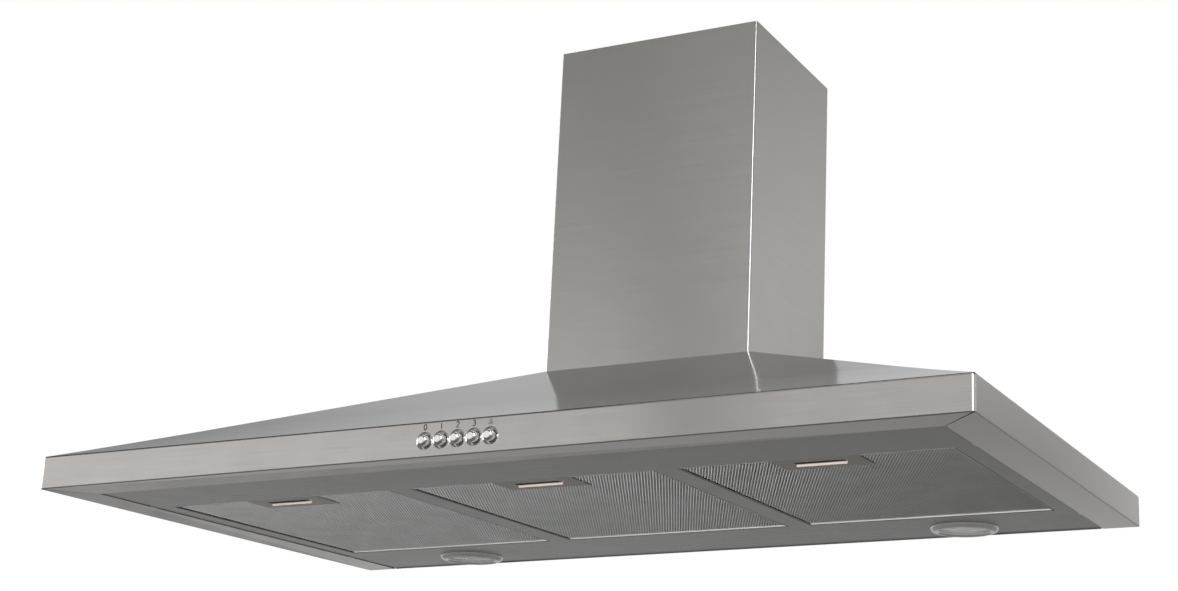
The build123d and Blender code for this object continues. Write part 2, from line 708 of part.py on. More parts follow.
with BuildPart() as capacitor_clip:
    with BuildSketch(Plane.YZ.offset(capacitor_x - clip_width / 2)):
        with Locations((capacitor_y, capacitor_z)):
            Circle(capacitor_radius + clip_sheet)
            Circle(capacitor_radius, mode=Mode.SUBTRACT)
        with Locations((-back_sheet - clip_sheet / 2, capacitor_z + 8)):
            Rectangle(clip_sheet, 44)
        with Locations((capacitor_y, capacitor_z)):
            Circle(capacitor_radius, mode=Mode.SUBTRACT)
    extrude(amount=clip_width)
    rod_y(capacitor_x, clip_screw_z, clip_screw_hole, -back_sheet - 2 * clip_sheet, 0, Mode.SUBTRACT)
save(capacitor_clip.part, "capacitor_clip")

driver_left, driver_right = 204, 290
driver_front = -24
driver_top_z = 72
with BuildPart() as lamp_driver:
    box(driver_left, driver_right, driver_front, -back_sheet, box_bottom_z, driver_top_z)
    fillet(lamp_driver.edges().filter_by(Axis.Y), 3)
    fillet(lamp_driver.faces().sort_by(Axis.Y)[0].edges(), 1.5)
save(lamp_driver.part, "lamp_driver")

# ---- lamps -------------------------------------------------------------------------------------------
ring_bottom_z = -3
ring_neck_radius = lamp_hole_radius - 0.4
glass_rim_z = 0
glass_crown = 1.4
glass_top_z = 2.4
crown_radius = (lamp_glass_radius**2 + glass_crown**2) / (2 * glass_crown)
can_radius = 29
can_wall = 1.2
can_top_z = 38
bulb_base_radius = 8
bulb_base_length = 10
bulb_radius = 5
bulb_length = 15


def lamp_pieces():
    """The four turned pieces of a lamp, made round the Z axis."""
    with BuildPart() as ring:
        with BuildSketch(Plane.XZ):
            with BuildLine():
                outer_edge = (lamp_ring_radius, panel_z)
                crest = (lamp_ring_radius - 5.5, ring_bottom_z)
                inner_edge = (lamp_glass_radius + 0.3, glass_rim_z - 0.4)
                ThreePointArc(outer_edge, (lamp_ring_radius - 1.6, ring_bottom_z + 1.3), crest)
                ThreePointArc(crest, (lamp_glass_radius + 1.4, ring_bottom_z + 0.35), inner_edge)
                Polyline(inner_edge, (inner_edge[0], glass_top_z), (lamp_glass_radius - 2, glass_top_z),
                         (lamp_glass_radius - 2, glass_top_z + 1.2), (ring_neck_radius, glass_top_z + 1.2),
                         (ring_neck_radius, panel_z), outer_edge)
            make_face()
        revolve(axis=Axis.Z)
    with BuildPart() as glass:
        with BuildSketch(Plane.XZ):
            with BuildLine():
                Polyline((0, glass_rim_z - glass_crown), (0, glass_top_z), (lamp_glass_radius, glass_top_z),
                         (lamp_glass_radius, glass_rim_z))
                RadiusArc((lamp_glass_radius, glass_rim_z), (0, glass_rim_z - glass_crown), crown_radius)
            make_face()
        revolve(axis=Axis.Z)
    with BuildPart() as can:
        with BuildSketch(Plane.XZ):
            Polygon((can_radius - can_wall, panel_top_z), (can_radius + 4, panel_top_z),
                    (can_radius + 4, panel_top_z + can_wall), (can_radius, panel_top_z + can_wall),
                    (can_radius, can_top_z), (0, can_top_z), (0, can_top_z - can_wall),
                    (can_radius - can_wall, can_top_z - can_wall), align=None)
        revolve(axis=Axis.Z)
    with BuildPart() as bulb:
        with Locations((0, 0, can_top_z - can_wall)):
            Cylinder(bulb_base_radius, bulb_base_length, align=(Align.CENTER, Align.CENTER, Align.MAX))
        with Locations((0, 0, can_top_z - can_wall - bulb_base_length)):
            Cylinder(bulb_radius, bulb_length, align=(Align.CENTER, Align.CENTER, Align.MAX))
        fillet(bulb.edges().group_by(Axis.Z)[0], 3)
    return {"ring": ring.part, "glass": glass.part, "can": can.part, "bulb": bulb.part}


for side, side_name in zip((-1, 1), side_names):
    for piece_name, piece in lamp_pieces().items():
        save(piece.moved(Location((side * lamp_x, lamp_y, 0))), f"lamp_{piece_name}_{side_name}")

# ---- switch and its five push buttons ----------------------------------------------------------------
button_front = -canopy_depth - 5.5
button_cap_rear = -496
stem_radius = 2.6
stem_end = -486
block_front = -492.4
block_rear = -474
block_half_width = 46
block_bottom_z = 5
block_top_z = 23
button_names = ["off", "speed_1", "speed_2", "speed_3", "light"]

for x, button_name in zip(button_x, button_names):
    with BuildPart() as button:
        rod_y(x, button_z, button_radius, button_front, button_cap_rear)
        fillet(button.edges().group_by(Axis.Y)[0], button_edge_radius)
        rod_y(x, button_z, stem_radius, button_cap_rear, stem_end)
    save(button.part, f"button_{button_name}")

with BuildPart() as switch_block:
    box(-block_half_width, block_half_width, block_front, block_rear, block_bottom_z, block_top_z)
    fillet(switch_block.edges().filter_by(Axis.Y), 1.5)
    for x in button_x:
        rod_y(x, button_z, stem_radius + button_clearance, block_front - 1, stem_end + button_travel + 3,
              Mode.SUBTRACT)
save(switch_block.part, "switch_block")

tab_z = fascia_height - sheet
tab_width = 10
switch_bracket_half_width = 60
with BuildPart() as switch_bracket:
    box(-switch_bracket_half_width, switch_bracket_half_width, block_front, block_rear, block_top_z,
        block_top_z + clip_sheet)
    for side in (-1, 1):
        outer_edge = side * switch_bracket_half_width
        inner, outer = sorted((outer_edge - side * tab_width, outer_edge))
        box(inner, outer, block_front, block_front + clip_sheet, block_top_z, tab_z)
        box(inner, outer, -canopy_depth + 2, block_front + clip_sheet, tab_z - clip_sheet, tab_z)
save(switch_bracket.part, "switch_bracket")

# ---- grease filters ----------------------------------------------------------------------------------
frame_wall = 1.2
frame_lip = 3
frame_lip_sheet = 0.8
bead_bottom_z = 0.9
bead_rear = filter_rear - 1.2
mesh_thickness = 3
pin_reach = 4.4
handle_half_width = 40
handle_depth = 38
handle_sheet = 1.2
handle_bottom_z = filter_z - handle_sheet
handle_gap = 0.3
grip_drop = 2.2
grip_sheet = 0.9
slot_half_width = 23
slot_front = filter_front + 13
slot_rear = slot_front + 7
pocket_half_width = 32
pocket_wall = 1.0
pocket_front = filter_front + frame_wall + frame_lip + 0.2
pocket_rear = filter_front + handle_depth - 2
pocket_top_z = filter_top_z - 1
latch_z = 7.8
latch_sheet = 1.2
latch_half_width = 28
latch_tongue_half_width = 15
latch_shoulder = pocket_front + 3
latch_rear = slot_rear + 8
finger_tab_front = slot_rear + 0.2
finger_tab_lift = 0.5
window_clearance = 0.5

for centre, filter_name in zip(filter_centres, filter_names):
    left, right = centre - filter_half_width, centre + filter_half_width
    with BuildPart() as filter_frame:
        box(left, right, filter_front, filter_rear, filter_z, filter_top_z)
        box(left + frame_wall, right - frame_wall, filter_front + frame_wall, filter_rear - frame_wall,
            filter_z + frame_lip_sheet, filter_top_z - frame_lip_sheet, Mode.SUBTRACT)
        lip = frame_wall + frame_lip
        box(left + lip, right - lip, filter_front + lip, filter_rear - lip, filter_z - 1, filter_top_z + 1,
            Mode.SUBTRACT)
        # rolled bead that stands down round the edge of the mesh, cut away for the handle
        box(left, right, filter_front, bead_rear, bead_bottom_z, filter_z)
        box(left + frame_wall, right - frame_wall, filter_front + frame_wall, bead_rear - frame_wall,
            bead_bottom_z - 1, filter_z, Mode.SUBTRACT)
        box(centre - handle_half_width - handle_gap, centre + handle_half_width + handle_gap,
            filter_front - 1, filter_front + frame_wall + 1, bead_bottom_z - 1, filter_z, Mode.SUBTRACT)
        for edge, side in ((left, -1), (right, 1)):
            pin_middle = (edge + side * pin_reach / 2, filter_hinge_y, filter_hinge_z)
            with Locations(Location(pin_middle, (0, 90, 0))):
                Cylinder(hinge_pin_radius, pin_reach)
        box(centre - latch_tongue_half_width - window_clearance, centre + latch_tongue_half_width
            + window_clearance, filter_front - 1, filter_front + frame_wall + 0.1, latch_z - window_clearance,
            latch_z + latch_sheet + window_clearance, Mode.SUBTRACT)
    save(filter_frame.part, f"filter_frame_{filter_name}")

    with BuildPart() as filter_mesh:
        box(left + frame_wall, right - frame_wall, filter_front + frame_wall, filter_rear - frame_wall,
            filter_z + frame_lip_sheet, filter_z + frame_lip_sheet + mesh_thickness)
        box(centre - pocket_half_width, centre + pocket_half_width, filter_front, pocket_rear,
            filter_z, filter_top_z, Mode.SUBTRACT)
    save(filter_mesh.part, f"filter_mesh_{filter_name}")

    with BuildPart() as filter_handle:
        box(centre - handle_half_width, centre + handle_half_width, filter_front,
            filter_front + handle_depth, handle_bottom_z, filter_z)
        fillet(filter_handle.edges().filter_by(Axis.Z), 1.5)
        box(centre - pocket_half_width, centre + pocket_half_width, pocket_front, pocket_rear,
            filter_z, pocket_top_z)
        box(centre - pocket_half_width + pocket_wall, centre + pocket_half_width - pocket_wall,
            pocket_front - 1, pocket_rear - pocket_wall, filter_z, pocket_top_z + 1, Mode.SUBTRACT)
        with BuildSketch(Plane.XY.offset(handle_bottom_z)):
            with Locations((centre, (slot_front + slot_rear) / 2)):
                RectangleRounded(2 * slot_half_width, slot_rear - slot_front, 1.5)
        extrude(amount=handle_sheet, mode=Mode.SUBTRACT)
        # lip folded down behind the slot, for the fingers
        box(centre - slot_half_width, centre + slot_half_width, slot_rear, slot_rear + grip_sheet,
            handle_bottom_z - grip_drop, handle_bottom_z)
    save(filter_handle.part, f"filter_handle_{filter_name}")

    with BuildPart() as filter_latch:
        box(centre - latch_half_width, centre + latch_half_width, latch_shoulder, latch_rear,
            latch_z, latch_z + latch_sheet)
        box(centre - latch_tongue_half_width, centre + latch_tongue_half_width, filter_front - 0.5,
            latch_shoulder, latch_z, latch_z + latch_sheet)
        box(centre - slot_half_width + 1, centre + slot_half_width - 1, finger_tab_front,
            finger_tab_front + latch_sheet, filter_z + finger_tab_lift, latch_z)
    save(filter_latch.part, f"filter_latch_{filter_name}")


# ---- screws ------------------------------------------------------------------------------------------
pan_head_height = 0.8


def screw_y(x, z, shank, head, seat, tip):
    """A pan-head screw along Y with its head's underside at `seat` and its end at `tip`."""
    outward = 1 if seat > tip else -1
    rod_y(x, z, head, *sorted((seat, seat + outward * head * pan_head_height)))
    rod_y(x, z, shank, *sorted((seat, tip)))


with BuildPart() as casing_screws:
    for x, z in lug_points:
        screw_y(x, z, casing_screw_radius, 2.8, casing_split - 8, casing_split + 8)
    for x, z in motor_screw_points:
        screw_y(x, z, motor_screw_radius, 3.4, motor_front, casing_rear - casing_wall)
save(casing_screws.part, "casing_screws")

with BuildPart() as blower_screws:
    for x in (-frame_screw_spacing_x / 2, frame_screw_spacing_x / 2):
        for z in (frame_screw_z - frame_screw_spacing_z / 2, frame_screw_z + frame_screw_spacing_z / 2):
            screw_y(x, z, 2, 3.6, -2 * back_sheet, -0.2)
    for x in (-foot_screw_x, foot_screw_x):
        for y in foot_screw_y:
            with Locations((x, y, foot_z - frame_sheet)):
                Cylinder(3.4, 2.6, align=(Align.CENTER, Align.CENTER, Align.MAX))
                Cylinder(motor_screw_radius, 7, align=(Align.CENTER, Align.CENTER, Align.MIN))
save(blower_screws.part, "blower_screws")

with BuildPart() as electrics_screws:
    for x in lid_screw_x:
        screw_y(x, lid_screw_z, 1.4, 2.6, box_front - lid_depth, box_front + 6)
    screw_y(capacitor_x, clip_screw_z, 1.6, 3, -back_sheet - clip_sheet, -0.2)
save(electrics_screws.part, "electrics_screws")
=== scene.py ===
import json
import math

import bpy
from mathutils import Matrix, Vector


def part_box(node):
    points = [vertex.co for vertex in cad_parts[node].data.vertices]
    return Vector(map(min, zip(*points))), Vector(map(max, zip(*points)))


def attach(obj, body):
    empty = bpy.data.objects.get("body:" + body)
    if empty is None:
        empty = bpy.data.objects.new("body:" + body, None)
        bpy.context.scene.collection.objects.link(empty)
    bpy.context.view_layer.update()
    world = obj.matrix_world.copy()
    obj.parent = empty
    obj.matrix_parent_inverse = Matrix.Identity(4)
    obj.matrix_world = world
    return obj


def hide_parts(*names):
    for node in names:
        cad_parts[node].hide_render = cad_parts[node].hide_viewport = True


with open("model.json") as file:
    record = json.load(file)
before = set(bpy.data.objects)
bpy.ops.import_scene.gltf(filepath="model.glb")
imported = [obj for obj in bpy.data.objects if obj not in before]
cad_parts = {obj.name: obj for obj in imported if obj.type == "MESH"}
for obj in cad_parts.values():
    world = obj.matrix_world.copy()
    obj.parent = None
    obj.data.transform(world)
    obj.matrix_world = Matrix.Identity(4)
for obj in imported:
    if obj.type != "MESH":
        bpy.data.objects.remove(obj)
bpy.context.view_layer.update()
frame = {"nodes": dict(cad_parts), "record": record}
MM = 0.001
HOOD = "hood"
SIDES = ("left", "middle", "right")
LAMPS = ("left", "right")
RIGHT = (1.0, 0.0, 0.0)
UP = (0.0, 0.0, 1.0)


# Node graphs. Every coordinate comes from the object, which shares the frame of the CAD.

class Graph:
    """A material or world graph, with short calls for the nodes that the finishes use."""

    def __init__(self, tree):
        self.tree = tree
        tree.nodes.clear()

    def node(self, kind, inputs=None, **settings):
        made = self.tree.nodes.new("ShaderNode" + kind)
        for key, value in settings.items():
            setattr(made, key, value)
        for key, value in (inputs or {}).items():
            self.put(made.inputs[key], value)
        return made

    def put(self, socket, value):
        if isinstance(value, bpy.types.NodeSocket):
            self.tree.links.new(value, socket)
        elif value is not None:
            socket.default_value = value

    def math(self, operation, a, b=0.0):
        return self.node("Math", {0: a, 1: b}, operation=operation).outputs[0]

    def vector(self, operation, a, b=(0.0, 0.0, 0.0)):
        made = self.node("VectorMath", {0: a, 1: b}, operation=operation)
        return made.outputs["Value" if operation == "DOT_PRODUCT" else "Vector"]

    def spread(self, value, low, high, start=0.0, end=1.0):
        """value from start..end mapped to low..high."""
        return self.node("MapRange", {"Value": value, "From Min": start, "From Max": end,
                                      "To Min": low, "To Max": high}).outputs["Result"]

    def blend(self, share, a, b):
        made = self.node("Mix", {"Factor": share}, data_type="RGBA")
        self.put(made.inputs[6], a)
        self.put(made.inputs[7], b)
        return made.outputs[2]

    def noise(self, coords, scale, detail=3.0, roughness=0.5):
        made = self.node("TexNoise", {"Vector": coords, "Scale": scale, "Detail": detail,
                                      "Roughness": roughness})
        return made.outputs["Fac"]

    def bump(self, height, strength, distance, under=None):
        return self.node("Bump", {"Height": height, "Strength": strength, "Distance": distance,
                                  "Normal": under}).outputs["Normal"]

    def coords(self):
        return self.node("TexCoord").outputs["Object"]

    def stretched(self, coords, along, across):
        """Coordinates that run slowly along one direction and fast across it, for brushed grain."""
        return self.node("CombineXYZ", {"X": self.vector("DOT_PRODUCT", coords, along),
                                        "Y": self.vector("DOT_PRODUCT", coords, across)}).outputs[0]


def shade(value):
    """A colour from one grey or three numbers, linear."""
    if isinstance(value, (int, float)):
        value = (value, value, value)
    return (*value, 1.0)


def material(name, build):
    made = bpy.data.materials.new(name)
    made.use_nodes = True
    graph = Graph(made.node_tree)
    shader = graph.node("BsdfPrincipled")
    build(graph, shader)
    out = graph.node("OutputMaterial")
    made.node_tree.links.new(shader.outputs[0], out.inputs["Surface"])
    return made


def feed(graph, shader, **inputs):
    for key, value in inputs.items():
        graph.put(shader.inputs[key.replace("_", " ")], value)


def hanging_edge_highlight_and_shade(graph, place, color, low):
    """Colour and metal share for a piece whose hanging edge gets a painted highlight in front, pale and less
    metallic, and painted shade, near black, on its left and right faces.
    low is (height, tone of the painted highlight, metal share)."""
    height, tone, metal = low
    below = graph.math("LESS_THAN", graph.node("SeparateXYZ", {"Vector": place}).outputs["Z"], height)
    facing = graph.node("SeparateXYZ", {"Vector": graph.node("TexCoord").outputs["Normal"]})
    # Mask for the painted highlight on the front of the hanging edge.
    front = graph.math("MULTIPLY", below, graph.math("LESS_THAN", facing.outputs["Y"], -0.5))
    # Mask for the painted shade on the left and right faces of the hanging edge.
    painted_shade_sides = graph.math("MULTIPLY", below, graph.math(
        "GREATER_THAN", graph.math("ABSOLUTE", facing.outputs["X"]), 0.5))
    # Near-black painted shade on the left and right faces, then the pale, less metallic painted highlight on
    # the front.
    color = graph.blend(painted_shade_sides, color, shade(0.03))
    return graph.blend(front, color, shade(tone)), graph.spread(front, 1.0, metal)


def brushed(name, tone, gloss, lines, anisotropy=0.75, level=True, contrast=0.022, relief=0.12, low=None):
    """Brushed sheet, with its strokes along X or, where level is set, level round every face.
    lines gives the strokes per metre along each axis across the grain."""
    along = (12.0, 12.0 if level else 0.0, 0.0)

    def build(graph, shader):
        place = graph.coords()
        strokes = graph.stretched(place, along, lines)
        fine = graph.noise(strokes, 1.0, 2.0, 0.6)
        bands = graph.noise(graph.vector("MULTIPLY", strokes, (0.35, 0.07, 1.0)), 1.0, 3.0, 0.55)
        cloud = graph.noise(place, 5.0, 4.0, 0.55)
        smear = graph.noise(graph.vector("MULTIPLY", place, (1.0, 1.0, 2.2)), 22.0, 5.0, 0.6)
        light = shade([c * (1 + contrast) for c in tone])
        dark = shade([c * (1 - contrast) for c in tone])
        mix = graph.math("ADD", graph.math("MULTIPLY", fine, 0.7), graph.math("MULTIPLY", bands, 0.3))
        color = graph.blend(graph.spread(mix, 0.0, 1.0, 0.3, 0.7), dark, light)
        color = graph.blend(graph.spread(cloud, 0.0, 0.5, 0.35, 0.75), color,
                            shade([tone[0] * 0.97, tone[1] * 0.965, tone[2] * 0.955]))
        rough = graph.math("ADD", graph.spread(fine, -0.03, 0.03, 0.3, 0.7),
                           graph.spread(smear, gloss - 0.012, gloss + 0.016, 0.3, 0.7))
        facing = graph.node("LayerWeight", {"Blend": 0.5}).outputs["Facing"]
        rough = graph.math("MULTIPLY", rough, graph.spread(facing, 1.0, 0.35, 0.75, 1.0))
        normal = graph.node("NewGeometry").outputs["Normal"]
        if level:
            level_way = graph.vector("CROSS_PRODUCT", normal, UP)
            tangent = graph.vector("NORMALIZE", graph.vector("CROSS_PRODUCT", normal, level_way))
        else:
            tangent = graph.vector("NORMALIZE", graph.vector("CROSS_PRODUCT", normal, RIGHT))
        metal = 1.0
        # Where low is given, the hanging edge gets a painted highlight in front and painted shade on its
        # left and right faces.
        if low:
            color, metal = hanging_edge_highlight_and_shade(graph, place, color, low)
        feed(graph, shader, Base_Color=color, Metallic=metal, Roughness=rough, Anisotropic=anisotropy,
             Tangent=tangent, Normal=graph.bump(fine, relief, 0.00004))
    return material(name, build)


def galvanised(name, tone=(0.46, 0.47, 0.48)):
    def build(graph, shader):
        place = graph.coords()
        swirl = graph.node("TexNoise", {"Vector": place, "Scale": 60.0}).outputs["Color"]
        warped = graph.vector("ADD", place, swirl)
        cells = graph.node("TexVoronoi", {"Vector": place, "Scale": 130.0, "Randomness": 1.0})
        spangle = graph.node("SeparateColor", {"Color": cells.outputs["Color"]}).outputs[0]
        haze = graph.noise(place, 14.0, 5.0, 0.6)
        grain = graph.noise(warped, 900.0, 2.0)
        color = graph.blend(spangle, shade([c * 0.80 for c in tone]), shade([c * 1.16 for c in tone]))
        color = graph.blend(graph.spread(haze, 0.0, 0.35, 0.4, 0.7), color, shade((0.36, 0.37, 0.39)))
        rough = graph.math("ADD", graph.spread(spangle, 0.30, 0.48), graph.spread(haze, -0.05, 0.08))
        height = graph.math("ADD", graph.math("MULTIPLY", spangle, 0.6), graph.math("MULTIPLY", grain, 0.4))
        feed(graph, shader, Base_Color=color, Metallic=1.0, Roughness=rough,
             Normal=graph.bump(height, 0.25, 0.0001))
    return material(name, build)


def moulded(name, tone, gloss, grain_scale=900.0, relief=0.35, fleck=0.18, clear=0.0, glow=0.0):
    """Injection-moulded plastic or enamel: fine pebble grain, slight colour drift, scuffs."""
    def build(graph, shader):
        place = graph.coords()
        pebble = graph.node("TexVoronoi", {"Vector": place, "Scale": grain_scale},
                            feature="SMOOTH_F1").outputs["Distance"]
        drift = graph.noise(place, 18.0, 4.0, 0.6)
        scuff = graph.noise(graph.vector("MULTIPLY", place, (1.0, 3.5, 1.6)), 120.0, 4.0, 0.7)
        color = graph.blend(graph.spread(drift, 0.0, 1.0, 0.3, 0.7),
                            shade([c * (1 - fleck) for c in tone]), shade([c * (1 + fleck) for c in tone]))
        color = graph.blend(graph.spread(scuff, 0.0, 0.22, 0.62, 0.8), color,
                            shade([min(1.0, c * 1.6 + 0.04) for c in tone]))
        rough = graph.math("ADD", graph.spread(scuff, gloss - 0.04, gloss + 0.07, 0.3, 0.8),
                           graph.spread(pebble, -0.04, 0.05))
        feed(graph, shader, Base_Color=color, Roughness=rough, Coat_Weight=clear,
             Subsurface_Weight=glow, Subsurface_Radius=(0.004, 0.003, 0.002),
             Normal=graph.bump(pebble, relief, 0.00015))
    return material(name, build)


def turned(name, tone, gloss, scale=260.0, dark=0.7, relief=0.3, metal=1.0, low=None):
    """Machined, plated or cast metal with tool marks and grime settled in patches."""
    def build(graph, shader):
        place = graph.coords()
        marks = graph.noise(graph.vector("MULTIPLY", place, (1.0, 6.0, 1.0)), scale, 3.0, 0.6)
        patch = graph.noise(place, 30.0, 5.0, 0.6)
        color = graph.blend(graph.spread(patch, 0.0, 1.0, 0.35, 0.75), shade(tone),
                            shade([c * dark for c in tone]))
        rough = graph.math("ADD", graph.spread(marks, gloss - 0.05, gloss + 0.07, 0.3, 0.7),
                           graph.spread(patch, -0.02, 0.05, 0.3, 0.7))
        share = metal
        # Where low is given, the hanging edge gets a painted highlight in front and painted shade on its
        # left and right faces.
        if low:
            color, share = hanging_edge_highlight_and_shade(graph, place, color, low)
        feed(graph, shader, Base_Color=color, Metallic=share, Roughness=rough,
             Normal=graph.bump(marks, relief, 0.00005))
    return material(name, build)


def glass(name, tint, rough, ior=1.5, milk=0.0):
    def build(graph, shader):
        place = graph.coords()
        haze = graph.noise(place, 160.0, 4.0, 0.6)
        waves = graph.noise(place, 420.0, 2.0)
        feed(graph, shader, Base_Color=graph.blend(haze, shade(tint), shade([c * 0.94 for c in tint])),
             Roughness=graph.spread(haze, rough, rough + 0.06, 0.3, 0.7), IOR=ior,
             Transmission_Weight=1.0 - milk, Normal=graph.bump(waves, 0.15, 0.0002))
    return material(name, build)


FRONT_LINES = (0.0, 0.0, 2600.0)
SLOPE_LINES = (0.0, 0.0, 5200.0)
UNDER_LINES = (0.0, 2600.0, 0.0)
STEEL = (0.60, 0.591, 0.568)

steel_walls = brushed("steel_walls", STEEL, 0.185, FRONT_LINES, anisotropy=1.0, contrast=0.05)
steel_canopy = brushed("steel_canopy", (0.63, 0.632, 0.636), 0.11, SLOPE_LINES, anisotropy=0.9,
                       contrast=0.015)
steel_band = brushed("steel_band", (0.64, 0.62, 0.604), 0.185, FRONT_LINES, anisotropy=1.0)
steel_under = brushed("steel_under", (0.56, 0.56, 0.55), 0.33, UNDER_LINES, level=False)
FINISHES = {
    "brushed_stainless": steel_walls,
    "satin_stainless": steel_under,
    "galvanised_steel": galvanised("galvanised"),
    "spring_steel": turned("spring", (0.62, 0.62, 0.63), 0.18),
    "moulded_casing": moulded("casing_plastic", (0.055, 0.057, 0.060), 0.46),
    "dark_plastic": moulded("black_plastic", (0.022, 0.022, 0.024), 0.40),
    "turned_steel": turned("zinc_plate", (0.60, 0.60, 0.58), 0.26),
    "motor_enamel": moulded("enamel", (0.030, 0.031, 0.033), 0.28, 500.0, 0.2, clear=0.4),
    "grommet_rubber": moulded("rubber", (0.018, 0.018, 0.018), 0.62),
    "pale_plastic": moulded("pale_nylon", (0.56, 0.55, 0.51), 0.42, glow=0.1, fleck=0.04),
    "polished_chrome": turned("chrome", (0.86, 0.86, 0.87), 0.06, 180.0, 0.96, 0.03),
    "lamp_glass": glass("pressed_glass", (0.80, 0.78, 0.76), 0.06, milk=0.4),
    "lamp_can_steel": galvanised("can_steel", (0.52, 0.52, 0.52)),
    "bulb_glass": glass("bulb_envelope", (0.97, 0.98, 1.0), 0.12, 1.45),
    "filter_aluminium": turned("rolled_aluminium", (0.66, 0.66, 0.66), 0.34, 300.0, 0.86),
    # Handle plate: its lowest 1.3 mm gets a pale, less metallic front as a painted highlight, and near-black
    # left and right faces as painted shade.
    "handle_bronze": brushed("handle_plate", (0.54, 0.51, 0.465), 0.36, UNDER_LINES, level=False,
                             low=(1.3 * MM, (0.80, 0.70, 0.64), 0.1)),
    "latch_steel": turned("latch_plate", (0.48, 0.47, 0.45), 0.26),
}

# Nodes whose finish differs from the rest of their slot.
SPECIAL = {"canopy": steel_canopy, "fascia_band": steel_band}
# Filter bead: its lowest 2.5 mm gets a pale, less metallic front as a painted highlight, and near-black left
# and right faces as painted shade.
bead = turned("filter_bead", (0.66, 0.66, 0.66), 0.34, 300.0, 0.86, low=(2.5 * MM, (0.80, 0.77, 0.75), 0.35))
SPECIAL.update({"filter_frame_" + side: bead for side in SIDES})
# The foil pack seen between the strands is a dark grey, painted shade standing in for the shade between the
# foil layers.
foil_core_painted_shade = turned("foil_core_painted_shade", (0.34, 0.34, 0.34), 0.5, 300.0, 0.8)
SPECIAL.update({"filter_mesh_" + side: foil_core_painted_shade for side in SIDES})
trim = turned("lamp_trim", (0.80, 0.79, 0.78), 0.14, 180.0, 0.94, 0.03, metal=0.9)
SPECIAL.update({"lamp_ring_" + side: trim for side in LAMPS})

slot_of = {part["node"]: part["material_slot"] for part in frame["record"]["subparts"]}
for node_name, node in frame["nodes"].items():
    finish = SPECIAL.get(node_name, FINISHES[slot_of[node_name]])
    for index in range(len(node.material_slots)):
        node.material_slots[index].material = finish


# Pieces that Blender adds or builds finer than the CAD solid.

def place_mesh(name, verts, faces, body, finish, smooth=False, offset=(0, 0, 0)):
    mesh = bpy.data.meshes.new(name)
    mesh.from_pydata(verts, [], faces)
    mesh.materials.append(finish)
    if smooth:
        mesh.shade_smooth()
    return place_object(name, mesh, body, offset)


def place_object(name, mesh, body, offset=(0, 0, 0)):
    made = bpy.data.objects.new(name, mesh)
    made.location = offset
    bpy.context.scene.collection.objects.link(made)
    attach(made, body)
    return made


def expanded_mesh(width, depth, cell_x, cell_y, strand, rise, pocket):
    """Sheet of expanded foil round its own middle: slanted strands between knots, left open at the pocket.
    The pocket is (half width, reach back from the front edge)."""
    verts, faces = [], []
    columns, rows = int(width / cell_x), int(depth / cell_y * 2)
    step_x, step_y = width / columns, depth / rows

    def bar(x0, y0, x1, y1):
        span = math.hypot(x1 - x0, y1 - y0)
        px, py = -(y1 - y0) / span * strand / 2, (x1 - x0) / span * strand / 2
        if py < 0:
            px, py = -px, -py
        first = len(verts)
        for x, y in ((x0, y0), (x1, y1)):
            verts.extend(((x - px, y - py, 0.0), (x - px * 0.6, y - py * 0.6, rise * 0.55),
                          (x + px, y + py, rise), (x + px * 0.6, y + py * 0.6, rise * 0.45)))
        for side in range(4):
            nxt = (side + 1) % 4
            faces.append((first + side, first + 4 + side, first + 4 + nxt, first + nxt))

    for row in range(rows):
        y0 = -depth / 2 + row * step_y
        for column in range(columns + 1):
            x0 = -width / 2 + (column + 0.5 * (row % 2)) * step_x
            for way in (-1, 1):
                x1 = x0 + way * step_x / 2
                if min(x0, x1) < -width / 2 - 1e-9 or max(x0, x1) > width / 2 + 1e-9:
                    continue
                if abs(x0 + x1) / 2 < pocket[0] and y0 < -depth / 2 + pocket[1]:
                    continue
                bar(x0, y0, x1, y0 + step_y)
    return verts, faces


def filter_meshes():
    """Two faces of expanded foil on each filter: the lower one lies just inside the bead of the frame."""
    foil = turned("foil_strand", (0.70, 0.70, 0.69), 0.42, 500.0, 0.85, metal=0.25)
    side_gap, front_gap, rear_gap = 0.2 * MM, 0.2 * MM, 1.4 * MM
    cell_x, cell_y, strand, rise = 2.9 * MM, 5.6 * MM, 0.78 * MM, 0.60 * MM
    handle_pocket = (41 * MM, 37.4 * MM)
    above_bead, above_slab = 0.85 * MM, 0.05 * MM
    low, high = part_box("filter_mesh_middle")
    width, depth = high.x - low.x - 2 * side_gap, high.y - low.y - front_gap - rear_gap
    sheet = bpy.data.meshes.new("foil_sheet")
    verts, faces = expanded_mesh(width, depth, cell_x, cell_y, strand, rise, handle_pocket)
    sheet.from_pydata(verts, [], faces)
    sheet.materials.append(foil)
    for side in SIDES:
        low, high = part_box("filter_mesh_" + side)
        bead_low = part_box("filter_frame_" + side)[0].z
        middle_x, middle_y = (low.x + high.x) / 2, low.y + front_gap + depth / 2
        for label, z in (("face", bead_low + above_bead), ("rear", high.z + above_slab)):
            place_object(f"foil_{label}_{side}", sheet, "filter_" + side,
                         (middle_x, middle_y, z))


